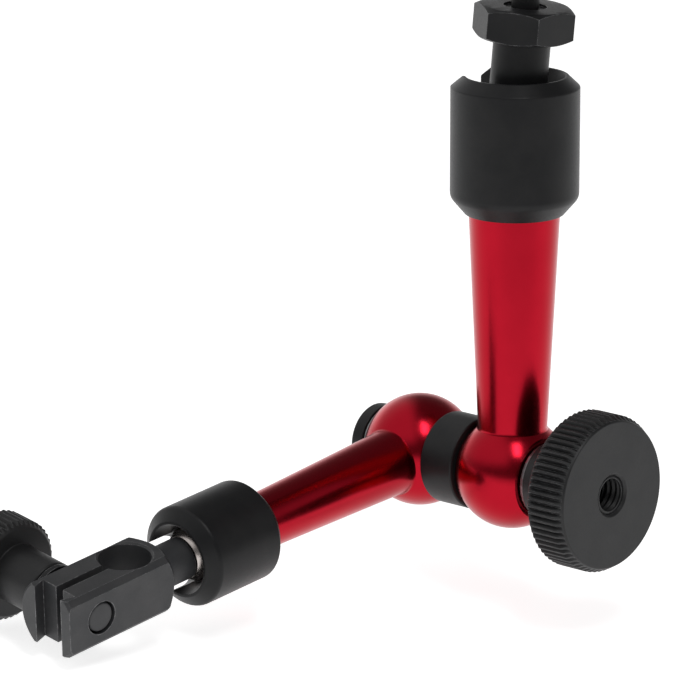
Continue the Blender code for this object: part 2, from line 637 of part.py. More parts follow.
def build():
    clear_scene()
    lean_axis = Vector((math.sin(math.radians(BASE_LEAN_AZIMUTH)),
                        -math.cos(math.radians(BASE_LEAN_AZIMUTH)), 0.0))
    base_ball = pivot("base_ball_pivot", None,
                      shift(z=-SEAT_TO_BALL) @ turn(BASE_LEAN, lean_axis))
    elbow = pivot("elbow_pivot", base_ball,
                  shift(x=-HUB_SPACING, z=-BASE_PIVOT_TO_BALL) @ turn(ELBOW_TURN, "X"))
    slot = math.radians(TIP_SLOT_AZIMUTH)
    tip_axis = Vector((-math.sin(slot), math.cos(slot), 0.0))
    slot_axis = Vector((math.cos(slot), math.sin(slot), 0.0))
    tip_ball = pivot("tip_ball_pivot", elbow,
                     shift(z=TIP_PIVOT_TO_BALL) @ turn(TIP_LEAN, tip_axis)
                     @ turn(TIP_SIDE_LEAN, slot_axis) @ turn(CLAMP_ROLL, "Z"))
    clamp_screw = pivot("clamp_screw_pivot", tip_ball, shift(z=CLAMP_SCREW_Z))
    mount_stud()
    piece("base_ball", ball_mesh(BASE_BALL_RADIUS, BASE_NECK_RADIUS, BASE_PIN_RADIUS),
          "bright_steel", None, shift(z=-SEAT_TO_BALL))
    base_arm_set(base_ball)
    tip_arm_set(elbow)
    piece("tip_ball", ball_mesh(TIP_BALL_RADIUS, TIP_NECK_RADIUS, TIP_PIN_RADIUS),
          "bright_steel", tip_ball)
    stem_clamp(tip_ball)
    clamp_knob_set(clamp_screw)


build()
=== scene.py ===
"""Looks for the articulated indicator holder arm: detailed pieces, finishes, light, camera.

Every detailed piece stands for one CAD node and is built in that part's own frame, which
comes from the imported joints. Sizes are in millimetres, and MM turns them into metres.
"""
import json
import math

import bmesh
import bpy
from mathutils import Matrix, Vector


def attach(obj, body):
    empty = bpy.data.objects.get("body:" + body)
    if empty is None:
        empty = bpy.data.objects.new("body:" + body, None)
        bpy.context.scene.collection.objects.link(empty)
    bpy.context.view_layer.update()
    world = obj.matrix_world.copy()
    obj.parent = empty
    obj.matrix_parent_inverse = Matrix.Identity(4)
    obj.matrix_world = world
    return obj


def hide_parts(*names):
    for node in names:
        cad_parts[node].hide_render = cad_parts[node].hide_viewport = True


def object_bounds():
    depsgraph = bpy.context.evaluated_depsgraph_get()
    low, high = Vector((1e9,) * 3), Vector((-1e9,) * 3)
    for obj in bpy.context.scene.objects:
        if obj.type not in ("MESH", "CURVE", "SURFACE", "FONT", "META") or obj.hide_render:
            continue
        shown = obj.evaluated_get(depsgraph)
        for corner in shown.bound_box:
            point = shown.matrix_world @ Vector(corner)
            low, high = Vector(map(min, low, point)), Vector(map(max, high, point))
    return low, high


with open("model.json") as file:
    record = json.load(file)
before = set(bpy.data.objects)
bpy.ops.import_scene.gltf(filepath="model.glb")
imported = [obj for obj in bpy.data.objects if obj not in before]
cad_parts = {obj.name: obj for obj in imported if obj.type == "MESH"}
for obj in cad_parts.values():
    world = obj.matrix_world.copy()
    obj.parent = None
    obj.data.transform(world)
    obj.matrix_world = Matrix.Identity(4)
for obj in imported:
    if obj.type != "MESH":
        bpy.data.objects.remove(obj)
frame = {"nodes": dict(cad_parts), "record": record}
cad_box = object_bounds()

MM = 0.001
JOINTS = {joint["name"]: joint for joint in frame["record"]["behaviour"]["joints"]}


# Frames of the parts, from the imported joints.

def frame_at(origin, z_axis, x_axis):
    """A matrix at origin with its z along z_axis and its x as near x_axis as it can be."""
    z = Vector(z_axis).normalized()
    x = Vector(x_axis)
    x = (x - z * z.dot(x)).normalized()
    y = z.cross(x)
    placed = Matrix((x, y, z)).transposed().to_4x4()
    placed.translation = origin
    return placed


def joint_place(name):
    return Vector(JOINTS[name]["pos_m"])


def joint_axis(name):
    return Vector(JOINTS[name]["axis"])


BASE_BALL = joint_place("base_tilt")
BASE_HUB = joint_place("lock_knob_turn")
TIP_HUB = joint_place("elbow")
TIP_BALL = joint_place("tip_tilt")
STUD_FRAME = Matrix.Translation(BASE_BALL)
BASE_FRAME = frame_at(BASE_HUB, BASE_BALL - BASE_HUB, joint_axis("elbow"))
TIP_FRAME = frame_at(TIP_HUB, TIP_BALL - TIP_HUB, joint_axis("elbow"))
CLAMP_FRAME = frame_at(TIP_BALL, joint_axis("clamp_spin"), -joint_axis("clamp_knob_turn"))
BASE_REACH = (BASE_BALL - BASE_HUB).length / MM
TIP_REACH = (TIP_BALL - TIP_HUB).length / MM
HUB_SPACING = (BASE_FRAME.inverted() @ TIP_HUB).length / MM
ALONG_X = Matrix.Rotation(math.radians(90.0), 4, "Y")
ALONG_Y = Matrix.Rotation(math.radians(-90.0), 4, "X")


def shift(x=0.0, y=0.0, z=0.0):
    return Matrix.Translation(Vector((x, y, z)) * MM)


def spin(degrees, axis):
    return Matrix.Rotation(math.radians(degrees), 4, axis)


# Mesh helpers.

def rounded(points, steps=4):
    """Profile points from corners (radius, height, fillet), each corner turned into an arc."""
    made = []
    count = len(points)
    for index, (radius, height, fillet) in enumerate(points):
        corner = Vector((radius, height))
        if fillet <= 0.0:
            made.append((radius, height))
            continue
        before = Vector(points[index - 1][:2]) - corner
        after = Vector(points[(index + 1) % count][:2]) - corner
        half = before.angle(after) / 2.0
        reach = min(fillet / math.tan(half), before.length * 0.45, after.length * 0.45)
        arm = reach / math.cos(half)
        centre = corner + (before.normalized() + after.normalized()).normalized() * arm
        start = corner + before.normalized() * reach - centre
        end = corner + after.normalized() * reach - centre
        sweep = start.angle_signed(end)
        for step in range(steps + 1):
            angle = -sweep * step / steps
            turned = Vector((start.x * math.cos(angle) - start.y * math.sin(angle),
                             start.x * math.sin(angle) + start.y * math.cos(angle)))
            made.append(tuple(centre + turned))
    return made


def arc(centre, radius, start, end, steps):
    """Profile points along an arc round the point (0, centre)."""
    angles = [math.radians(start + (end - start) * step / steps) for step in range(steps + 1)]
    return [(max(radius * math.cos(angle), 0.0), centre + radius * math.sin(angle))
            for angle in angles]


def sharp(points):
    return [(radius, height, 0.0) for radius, height in points]


def ring_of(work, radius_at, height_at, segments):
    ring = []
    for step in range(segments):
        angle = 2.0 * math.pi * step / segments
        radius = radius_at(angle)
        ring.append(work.verts.new((radius * math.cos(angle) * MM,
                                    radius * math.sin(angle) * MM, height_at(angle) * MM)))
    return ring


def join_rings(work, low, high):
    count = max(len(low), len(high))
    if len(low) == 1 and len(high) == 1:
        return
    for step in range(count):
        following = (step + 1) % count
        if len(low) == 1:
            work.faces.new((low[0], high[following], high[step]))
        elif len(high) == 1:
            work.faces.new((low[step], low[following], high[0]))
        else:
            work.faces.new((low[step], low[following], high[following], high[step]))


def finished_mesh(work, name):
    bmesh.ops.recalc_face_normals(work, faces=work.faces[:])
    mesh = bpy.data.meshes.new(name)
    work.to_mesh(mesh)
    work.free()
    return mesh


def turned_mesh(name, profile, segments=96, wave=None):
    """A closed turned solid. A wave lowers the radius round the axis: wave(angle, ring)."""
    work = bmesh.new()
    rings = []
    for index, (radius, height) in enumerate(profile):
        if radius < 1e-6:
            rings.append([work.verts.new((0.0, 0.0, height * MM))])
            continue

        def radius_at(angle, radius=radius, index=index):
            return radius - (wave(angle, index) if wave else 0.0)

        rings.append(ring_of(work, radius_at, lambda angle, height=height: height, segments))
    for index, ring in enumerate(rings):
        join_rings(work, ring, rings[(index + 1) % len(rings)])
    return finished_mesh(work, name)


def prism_mesh(name, outline, low, high):
    """A straight prism: the outline's (x, z) corners, drawn out along y from low to high."""
    work = bmesh.new()
    near = [work.verts.new((x * MM, low * MM, z * MM)) for x, z in outline]
    far = [work.verts.new((x * MM, high * MM, z * MM)) for x, z in outline]
    work.faces.new(near)
    work.faces.new(far)
    count = len(outline)
    for step in range(count):
        following = (step + 1) % count
        work.faces.new((near[step], near[following], far[following], far[step]))
    return finished_mesh(work, name)


def box_mesh(x_range, y_range, z_range):
    outline = [(x_range[0], z_range[0]), (x_range[1], z_range[0]),
               (x_range[1], z_range[1]), (x_range[0], z_range[1])]
    return prism_mesh("box", outline, y_range[0], y_range[1])


def thread_profile(start, end, radius, depth, pitch, outward):
    """Rings for a helical thread: (height, radius, cut depth), faded at both ends."""
    rings = []
    count = int(round((end - start) / pitch * 8))
    for step in range(count + 1):
        height = start + (end - start) * step / count
        fade = min(1.0, (height - start) / (0.6 * pitch), (end - height) / (0.6 * pitch))
        rings.append((height, radius, depth * max(fade, 0.0) * outward))
    return rings


def thread_mesh(name, before, rings, after, pitch, segments=64):
    """A turned solid whose middle stretch carries a real helical thread."""
    work = bmesh.new()
    made = []
    for radius, height in before:
        made.append([work.verts.new((0.0, 0.0, height * MM))] if radius < 1e-6 else
                    ring_of(work, lambda angle, radius=radius: radius,
                            lambda angle, height=height: height, segments))
    for height, radius, depth in rings:
        def radius_at(angle, height=height, radius=radius, depth=depth):
            phase = (height / pitch - angle / (2.0 * math.pi)) % 1.0
            tooth = abs(2.0 * phase - 1.0)
            return radius - depth * min(max(1.25 * tooth - 0.1, 0.0), 1.0)

        made.append(ring_of(work, radius_at, lambda angle, height=height: height, segments))
    for radius, height in after:
        made.append([work.verts.new((0.0, 0.0, height * MM))] if radius < 1e-6 else
                    ring_of(work, lambda angle, radius=radius: radius,
                            lambda angle, height=height: height, segments))
    for index, ring in enumerate(made):
        join_rings(work, ring, made[(index + 1) % len(made)])
    return finished_mesh(work, name)


def new_object(name, mesh, placed):
    item = bpy.data.objects.new(name, mesh)
    bpy.context.collection.objects.link(item)
    item.matrix_world = placed
    return item


def combine(item, mesh, place, operation="DIFFERENCE"):
    """Cut, join or intersect a piece with a tool mesh placed in the piece's own frame."""
    tool = new_object("tool", mesh, item.matrix_world @ place)
    change = item.modifiers.new(operation.lower(), "BOOLEAN")
    change.object = tool
    change.operation = operation
    change.solver = "EXACT"
    bpy.context.view_layer.update()
    graph = bpy.context.evaluated_depsgraph_get()
    result = bpy.data.meshes.new_from_object(item.evaluated_get(graph))
    item.modifiers.clear()
    old = item.data
    item.data = result
    bpy.data.meshes.remove(old)
    bpy.data.objects.remove(tool, do_unlink=True)


def finish_piece(item, material, node, body, crease=32.0):
    """Smooth shading, finish, and the CAD node and body that the piece stands for."""
    mesh = item.data
    mesh.name = item.name
    mesh.materials.clear()
    mesh.materials.append(material)
    mesh.shade_smooth()
    mesh.set_sharp_from_angle(angle=math.radians(crease))
    even = item.modifiers.new("even_normals", "WEIGHTED_NORMAL")
    even.keep_sharp = True
    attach(item, body)
    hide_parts(node)
    return item


# Finishes.

class Nodes:
    """A short way to build one material's node tree."""

    def __init__(self, name):
        self.material = bpy.data.materials.new(name)
        self.material.use_nodes = True
        self.tree = self.material.node_tree
        self.shader = self.tree.nodes["Principled BSDF"]

    def add(self, kind, settings=None, values=None, links=None):
        node = self.tree.nodes.new(kind)
        for key, value in (settings or {}).items():
            setattr(node, key, value)
        for key, value in (values or {}).items():
            node.inputs[key].default_value = value
        for key, output in (links or {}).items():
            self.tree.links.new(output, node.inputs[key])
        return node

    def link(self, output, socket):
        self.tree.links.new(output, self.shader.inputs[socket])

    def constants(self, **values):
        for key, value in values.items():
            self.shader.inputs[key.replace("_", " ")].default_value = value

    def noise(self, coordinates, scale, detail=4.0, roughness=0.55):
        node = self.add("ShaderNodeTexNoise", {}, {"Scale": scale, "Detail": detail,
                        "Roughness": roughness}, {"Vector": coordinates})
        return node.outputs["Fac"]

    def ranged(self, value, low, high, out_low, out_high):
        node = self.add("ShaderNodeMapRange", {"clamp": True},
                        {"From Min": low, "From Max": high, "To Min": out_low,
                         "To Max": out_high}, {"Value": value})
        return node.outputs["Result"]

    def maths(self, operation, first, second):
        node = self.add("ShaderNodeMath", {"operation": operation})
        for socket, value in ((0, first), (1, second)):
            if isinstance(value, (int, float)):
                node.inputs[socket].default_value = value
            else:
                self.tree.links.new(value, node.inputs[socket])
        return node.outputs[0]

    def mix(self, factor, first, second):
        node = self.add("ShaderNodeMix", {"data_type": "RGBA"})
        self.tree.links.new(factor, node.inputs["Factor"])
        for name, value in (("A", first), ("B", second)):
            socket = [s for s in node.inputs if s.name == name and s.type == "RGBA"][0]
            if isinstance(value, tuple):
                socket.default_value = value
            else:
                self.tree.links.new(value, socket)
        return [s for s in node.outputs if s.type == "RGBA"][0]

    def object_coordinates(self):
        return self.add("ShaderNodeTexCoord").outputs["Object"]

    def edge_wear(self, radius, coordinates, patch_scale):
        """How much an edge is rubbed bright: bevelled normal against the true one."""
        bevel = self.add("ShaderNodeBevel", {"samples": 6}, {"Radius": radius * MM})
        geometry = self.add("ShaderNodeNewGeometry")
        dot = self.add("ShaderNodeVectorMath", {"operation": "DOT_PRODUCT"}, {},
                       {0: bevel.outputs["Normal"], 1: geometry.outputs["Normal"]})
        edge = self.ranged(dot.outputs["Value"], 0.80, 0.985, 1.0, 0.0)
        patches = self.ranged(self.noise(coordinates, patch_scale, 6.0, 0.65), 0.42, 0.62,
                              0.15, 1.0)
        return self.maths("MULTIPLY", edge, patches)

    def turning_marks(self, coordinates, pitch):
        """Fine rings left by the lathe, along the piece's own z axis."""
        wave = self.add("ShaderNodeTexWave", {"wave_type": "BANDS", "bands_direction": "Z",
                                              "wave_profile": "SIN"},
                        {"Scale": 1.0 / (pitch * MM) * 0.05, "Distortion": 1.5, "Detail": 3.0,
                         "Detail Scale": 1.2}, {"Vector": coordinates})
        return wave.outputs["Fac"]

    def bump(self, height, strength, distance, normal=None):
        node = self.add("ShaderNodeBump", {}, {"Strength": strength, "Distance": distance * MM},
                        {"Height": height})
        if normal:
            self.tree.links.new(normal, node.inputs["Normal"])
        return node.outputs["Normal"]


def red_anodised():
    """Dyed anodised aluminium: deep red metal with a fine grain and faint lathe rings."""
    make = Nodes("anodised_red_finish")
    where = make.object_coordinates()
    cloud = make.noise(where, 130.0, 3.0)
    fine = make.noise(where, 2600.0, 5.0, 0.6)
    colour = make.mix(make.ranged(cloud, 0.35, 0.65, 0.0, 1.0),
                      (0.385, 0.0075, 0.019, 1.0), (0.415, 0.0085, 0.021, 1.0))
    make.link(colour, "Base Color")
    make.link(make.ranged(fine, 0.3, 0.7, 0.21, 0.27), "Roughness")
    rings = make.turning_marks(where, 0.12)
    height = make.maths("ADD", make.maths("MULTIPLY", rings, 0.5), fine)
    make.link(make.bump(height, 0.05, 0.02), "Normal")
    make.constants(Metallic=1.0)
    return make.material


def black_oxide(name, base, rough, gloss, wear, wear_radius, grain=0.10):
    """Blackened steel: dark satin skin with a fine grain, rubbed lighter along its edges."""
    make = Nodes(name)
    where = make.object_coordinates()
    cloud = make.noise(where, 180.0, 4.0)
    fine = make.noise(where, 3200.0, 6.0, 0.65)
    skin = make.mix(make.ranged(cloud, 0.35, 0.65, 0.0, 1.0),
                    (base * 0.8, base * 0.83, base * 0.9, 1.0),
                    (base * 1.25, base * 1.25, base * 1.3, 1.0))
    worn = make.maths("MULTIPLY", make.edge_wear(wear_radius, where, 900.0), wear)
    make.link(make.mix(worn, skin, (0.42, 0.42, 0.43, 1.0)), "Base Color")
    rubbed = make.maths("MULTIPLY", worn, -0.1)
    make.link(make.maths("ADD", make.ranged(fine, 0.3, 0.7, rough - 0.05, rough + 0.06),
                         rubbed), "Roughness")
    soft_edge = make.add("ShaderNodeBevel", {"samples": 6}, {"Radius": 0.12 * MM})
    make.link(make.bump(fine, grain, 0.02, soft_edge.outputs["Normal"]), "Normal")
    make.constants(Metallic=0.0, Specular_IOR_Level=gloss)
    return make.material


def bright_steel(name, colour, rough):
    """Ground steel with fine scratches and a slight warm or cool stain."""
    make = Nodes(name)
    where = make.object_coordinates()
    stretched = make.add("ShaderNodeMapping", {}, {"Scale": (300.0, 300.0, 2600.0)},
                         {"Vector": where})
    scratches = make.noise(stretched.outputs["Vector"], 1.0, 6.0, 0.7)
    cloud = make.noise(where, 240.0, 3.0)
    dark = tuple(part * 0.72 for part in colour)
    make.link(make.mix(make.ranged(cloud, 0.35, 0.65, 0.0, 1.0), dark + (1.0,),
                       colour + (1.0,)), "Base Color")
    make.link(make.ranged(scratches, 0.3, 0.7, rough - 0.06, rough + 0.10), "Roughness")
    make.link(make.bump(scratches, 0.12, 0.02), "Normal")
    make.constants(Metallic=1.0)
    return make.material


RED = red_anodised()
BLACK = black_oxide("black_oxide_finish", 0.011, 0.40, 0.21, 0.65, 0.22)
CLAMP_BLACK = black_oxide("clamp_finish", 0.036, 0.50, 0.38, 0.75, 0.26, 0.22)
KNOB_BLACK = black_oxide("knob_finish", 0.012, 0.44, 0.34, 0.40, 0.16, 0.18)
BALL_STEEL = bright_steel("ball_finish", (0.66, 0.60, 0.57), 0.26)
PLAIN_STEEL = bright_steel("washer_finish", (0.36, 0.36, 0.37), 0.34)


# Arms.

HUB_RADIUS = 8.75
HUB_HALF_WIDTH = 6.1
HUB_BORE_RADIUS = 4.3


def arm_piece(name, placed, body, start_radius, slope, end, spigot, spigot_end, rod_bore):
    """Ball-shaped hub and tapered stem, turned in one, with flats and a cross bore."""
    meet = 0.0
    for step in range(400):
        meet = HUB_RADIUS * math.sin(math.radians(90.0 * step / 400))
        across = math.sqrt(HUB_RADIUS ** 2 - meet ** 2)
        if across <= start_radius + slope * meet:
            break
    top_angle = math.degrees(math.asin(meet / HUB_RADIUS))
    ball = arc(0.0, HUB_RADIUS, -90.0, top_angle - 1.5, 44)
    stem_start = meet + 0.35
    stem = [(start_radius + slope * stem_start, stem_start)]
    for step in range(1, 5):
        height = stem_start + (end - stem_start) * step / 4.0
        stem.append((start_radius + slope * height, height))
    profile = ball + stem + [(spigot, end), (spigot, spigot_end), (rod_bore, spigot_end),
                             (rod_bore, 5.0), (0.0, 5.0)]
    item = new_object(name, turned_mesh(name, profile, 112), placed)
    side = 2.0 * HUB_RADIUS
    for outward in (-1.0, 1.0):
        near, far = sorted((outward * HUB_HALF_WIDTH, outward * side))
        combine(item, box_mesh((near, far), (-side, side), (-side, side)),
                Matrix.Identity(4))
    bore = turned_mesh("bore", [(0.0, -side), (HUB_BORE_RADIUS, -side),
                                (HUB_BORE_RADIUS, side), (0.0, side)], 64)
    combine(item, bore, ALONG_X)
    return finish_piece(item, RED, name.replace("_shape", ""), body, 24.0)


# Caps.

def cap_piece(name, placed, body, outside, inside, slot_width, slot_azimuth, ball_height,
              top, reach):
    """Slotted ball cap; the slot's floor is round about the ball's centre."""
    profile = rounded(outside + inside)
    item = new_object(name, turned_mesh(name, profile, 128), placed)
    direction = spin(slot_azimuth, "Z")
    floor = turned_mesh("slot_floor", [(0.0, 0.0), (slot_width / 2.0, 0.0),
                                       (slot_width / 2.0, reach), (0.0, reach)], 72)
    combine(item, floor, direction @ shift(z=ball_height) @ ALONG_X)
    opening = box_mesh((0.0, reach), (-slot_width / 2.0, slot_width / 2.0),
                       (ball_height, top + 1.0))
    combine(item, opening, direction)
    return finish_piece(item, BLACK, name.replace("_shape", ""), body)


def base_cap():
    seat = arc(BASE_REACH, 6.25, 0.0, 25.6, 6)
    outside = [(7.55, 40.6, 0.2), (9.8, 43.2, 1.9), (9.8, 60.1, 0.35), (8.0, 61.8, 0.2)]
    inside = [(7.6, 61.8, 0.1)] + sharp(seat[::-1])
    inside += sharp([(6.6, BASE_REACH - 0.5), (6.6, 42.0), (7.25, 41.6), (7.25, 40.6)])
    return cap_piece("base_cap_shape", BASE_FRAME, "base_arm", outside, inside, 9.3, 192.0,
                     BASE_REACH, 61.8, 15.0)


def tip_cap():
    seat = arc(TIP_REACH, 4.75, 0.0, 22.3, 6)
    outside = [(6.4, 38.4, 0.3), (7.85, 39.9, 0.5), (7.85, 52.5, 0.9), (5.9, 54.0, 0.3)]
    inside = [(5.5, 54.0, 0.1)] + sharp(seat[::-1])
    inside += sharp([(4.9, TIP_REACH - 0.5), (4.9, 38.4)])
    return cap_piece("tip_cap_shape", TIP_FRAME, "tip_arm", outside, inside, 8.0, 207.0,
                     TIP_REACH, 54.0, 12.0)


# Balls and the mount stud.

def ball_piece(name, placed, body, radius, neck_radius, hole):
    flat = math.sqrt(radius ** 2 - neck_radius ** 2)
    angle = math.degrees(math.asin(flat / radius))
    profile = arc(0.0, radius, -90.0, angle, 48) + [(hole, flat), (hole, 0.5), (0.0, 0.5)]
    item = new_object(name, turned_mesh(name, profile, 96), placed)
    return finish_piece(item, BALL_STEEL, name.replace("_shape", ""), body)


SEAT = 18.0


def hexagon_collar():
    """Hexagon with both ends chamfered by a cone, in the stud's frame."""
    across_flats = 13.6
    corner = across_flats / 2.0 / math.cos(math.radians(30.0))
    low = SEAT - 5.0
    outline = []
    for step in range(6):
        angle = math.radians(-32.9 + 60.0 * step)
        outline.append((corner * math.cos(angle), -corner * math.sin(angle)))
    item = new_object("collar", prism_mesh("collar", outline, low, SEAT),
                      STUD_FRAME @ ALONG_Y.inverted())
    flat_face = across_flats / 2.0 - 0.15
    recess = SEAT - 0.4
    cones = [(0.0, low), (flat_face, low), (corner + 0.05, low + 0.6),
             (corner + 0.05, SEAT - 0.6), (flat_face, SEAT), (3.3, SEAT), (3.3, recess),
             (0.0, recess)]
    combine(item, turned_mesh("cones", cones, 144), ALONG_Y, "INTERSECT")
    return item


def mount_stud():
    """Neck, hexagon collar and M6 stud with a real thread."""
    flat = math.sqrt(6.0 ** 2 - 4.35 ** 2) + 0.3
    neck = rounded([(0.0, 0.8, 0.0), (2.0, 0.8, 0.0), (2.0, flat, 0.0), (4.35, flat, 0.1),
                    (4.35, SEAT - 1.0, 0.0), (2.1, SEAT - 1.0, 0.0),
                    (2.1, SEAT + 2.9, 0.0), (2.5, SEAT + 3.3, 0.0)])
    top = SEAT + 11.0
    rings = thread_profile(SEAT + 3.4, top - 0.5, 3.0, 0.58, 1.0, 1.0)
    tail = [(2.35, top), (0.0, top)]
    item = new_object("mount_stud_shape", thread_mesh("stud", neck, rings, tail, 1.0),
                      STUD_FRAME)
    collar = hexagon_collar()
    mesh = collar.data.copy()
    bpy.data.objects.remove(collar, do_unlink=True)
    combine(item, mesh, ALONG_Y.inverted(), "UNION")
    return finish_piece(item, BLACK, "mount_stud", "mount")


# Spindle, ring and lock knob.

def spindle():
    head_far = -HUB_SPACING - HUB_HALF_WIDTH - 1.2
    head_end = head_far - 2.3
    profile = [(0.0, head_end, 0.0), (5.65, head_end, 0.5), (5.65, head_far, 0.15),
               (3.0, head_far, 0.0)]
    for centre in (-HUB_SPACING, 0.0):
        profile += sharp([(3.0, centre - 3.4), (4.0, centre - 2.2), (2.6, centre + 2.2),
                          (2.9, centre + 2.7)])
    profile += sharp([(2.9, 14.9), (2.3, 15.5), (0.0, 15.5)])
    item = new_object("spindle_shape", turned_mesh("spindle", rounded(profile), 72),
                      BASE_FRAME @ ALONG_X)
    return finish_piece(item, BLACK, "spindle", "spindle")


def spacer_ring():
    low = -HUB_SPACING + HUB_HALF_WIDTH + 0.3
    high = -HUB_HALF_WIDTH - 0.3
    profile = rounded([(3.4, low, 0.2), (7.15, low, 0.3), (7.15, high, 0.3),
                       (3.4, high, 0.2)])
    item = new_object("spacer_ring_shape", turned_mesh("ring", profile, 112),
                      BASE_FRAME @ ALONG_X)
    slot = box_mesh((2.0, 4.9), (-1.1, 1.1), (low - 1.0, high + 1.0))
    combine(item, slot, Matrix.Identity(4))
    return finish_piece(item, BLACK, "spacer_ring", "base_arm")


def knurl_wave(teeth, depth, strengths):
    """Straight knurl: sharp valleys and slightly flat crests round a turned piece."""
    def wave(angle, index):
        phase = (angle * teeth / (2.0 * math.pi)) % 1.0
        tooth = min(abs(2.0 * phase - 1.0) * 1.35, 1.0)
        return depth * (1.0 - tooth) * strengths.get(index, 0.0)
    return wave


def lock_knob():
    """Knob with a long boss, straight knurl, chamfered rim and a threaded through hole."""
    teeth = 69
    depth = 0.62
    outer = 12.1
    boss_start = HUB_HALF_WIDTH + 1.2
    rear = 12.7
    rear_radius = 11.0
    grip_start = 13.75
    grip_end = 18.65
    face = 20.05
    face_radius = 11.3
    valley = outer - depth
    cone_front = face - max(valley - face_radius, 0.02) * (face - grip_end) / (outer - face_radius)
    cone_rear = rear + (valley - rear_radius) * (grip_start - rear) / (outer - rear_radius)
    body = rounded([(3.2, boss_start, 0.0), (6.15, boss_start, 0.25), (6.15, rear, 0.15),
                    (rear_radius, rear, 0.1)])
    first = len(body)
    body += [(valley, cone_rear), (outer, grip_start), (outer, grip_end), (valley, cone_front)]
    body += rounded([(outer, grip_end, 0.0), (face_radius, face, 0.2), (3.4, face, 0.1),
                     (3.05, face - 0.35, 0.0), (3.05, 15.9, 0.0)])[1:]
    body += [(3.2, 15.9)]
    strengths = {first + 1: 1.0, first + 2: 1.0}
    mesh = turned_mesh("knob", body, teeth * 8, knurl_wave(teeth, depth, strengths))
    item = new_object("lock_knob_shape", mesh, BASE_FRAME @ ALONG_X)
    finish_piece(item, KNOB_BLACK, "lock_knob", "lock_knob")
    return item


def knob_thread(knob):
    """Threaded lining of the knob's through hole."""
    wall = 3.04
    rings = thread_profile(16.0, 19.65, 2.56, 0.40, 1.0, -1.0)
    start = [(wall, 16.0), (2.56, 16.0)]
    mesh = thread_mesh("knob_thread", start, rings, [(2.56, 19.65), (wall, 19.65)], 1.0, 72)
    item = new_object("lock_knob_thread", mesh, BASE_FRAME @ ALONG_X)
    item.data.materials.append(KNOB_BLACK)
    item.data.shade_smooth()
    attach(item, "lock_knob")


# Stem clamp and its knob.

CLAMP_SCREW_Z = 23.45
STEM_BORE_Z = 14.3

def stem_clamp():
    """Neck and split block: stem bore, slit, dovetail groove, washer seat and screw hole."""
    start = 8.3
    end = 29.6
    face = 4.7
    tall = face + 2.0
    bar = 6.15
    block = rounded([(0.0, start, 0.0), (3.9, start, 0.4), (4.8, start + 0.85, 0.9),
                     (bar, start + 1.8, 0.5), (bar, end - 0.4, 0.1), (bar - 0.4, end, 0.1),
                     (0.0, end, 0.0)])
    item = new_object("stem_clamp_shape", turned_mesh("clamp", block, 144), CLAMP_FRAME)
    combine(item, box_mesh((-bar - 1.0, 4.8), (-face, face), (0.0, end + 5.0)),
            Matrix.Identity(4), "INTERSECT")
    flat = math.sqrt(4.5 ** 2 - 3.3 ** 2) + 0.3
    neck = [(0.0, 0.8), (1.5, 0.8), (1.5, flat), (3.3, flat), (3.3, start + 1.0),
            (0.0, start + 1.0)]
    combine(item, turned_mesh("neck", neck, 72), Matrix.Identity(4), "UNION")
    bore = [(0.0, -tall), (4.52, -face - 0.2), (4.0, -face + 0.32), (4.0, face - 0.32),
            (4.52, face + 0.2), (0.0, tall)]
    combine(item, turned_mesh("stem_bore", bore, 112), shift(x=-0.2, z=STEM_BORE_Z) @ ALONG_Y)
    combine(item, box_mesh((-0.55, 0.95), (-tall, tall), (STEM_BORE_Z, end + 1.0)),
            Matrix.Identity(4))
    groove = [(-3.5, 27.4), (3.5, 27.4), (2.48, 30.6), (-2.48, 30.6)]
    combine(item, prism_mesh("groove", groove, -tall, tall), shift(x=0.05))
    seat = turned_mesh("washer_seat", [(0.0, -8.0), (4.9, -8.0), (4.9, -4.7), (0.0, -4.7)], 96)
    combine(item, seat, shift(z=CLAMP_SCREW_Z) @ ALONG_X)
    hole = turned_mesh("screw_hole", [(0.0, -6.0), (2.6, -6.0), (2.6, 6.0), (0.0, 6.0)], 72)
    combine(item, hole, shift(z=CLAMP_SCREW_Z) @ ALONG_X)
    return finish_piece(item, CLAMP_BLACK, "stem_clamp", "stem_clamp")


def clamp_screw():
    profile = rounded([(0.0, -18.2, 0.0), (2.3, -18.2, 0.2), (2.3, 4.6, 0.35),
                       (0.0, 4.6, 0.0)])
    item = new_object("clamp_screw_shape", turned_mesh("screw", profile, 64),
                      CLAMP_FRAME @ shift(z=CLAMP_SCREW_Z) @ ALONG_X)
    return finish_piece(item, CLAMP_BLACK, "clamp_screw", "clamp_screw")


def clamp_knob():
    """Knob with a long boss and a straight knurl, its edges well rounded."""
    teeth = 46
    depth = 0.5
    outer = 7.9
    front = -14.3
    rear = -20.6
    chamfer = 0.9
    boss_front = -4.7 - 0.3 - 0.8 - 0.3
    valley = outer - depth
    body = [(2.6, boss_front), (2.6, -18.5), (0.0, -18.5)]
    body += rounded([(0.0, rear, 0.0), (outer - chamfer, rear, 0.3),
                     (valley, rear + chamfer - depth, 0.0)])
    first = len(body)
    body += [(outer, rear + chamfer), (outer, front - chamfer)]
    body += [(valley, front - chamfer + depth)]
    body += rounded([(valley, front - chamfer + depth, 0.0), (outer - chamfer, front, 0.3),
                     (4.45, front, 0.2), (4.45, boss_front, 0.4), (2.6, boss_front, 0.0)])[1:-1]
    strengths = {first: 1.0, first + 1: 1.0}
    mesh = turned_mesh("clamp_knob", body, teeth * 8, knurl_wave(teeth, depth, strengths))
    item = new_object("clamp_knob_shape", mesh, CLAMP_FRAME @ shift(z=CLAMP_SCREW_Z) @ ALONG_X)
    return finish_piece(item, KNOB_BLACK, "clamp_knob", "clamp_knob")


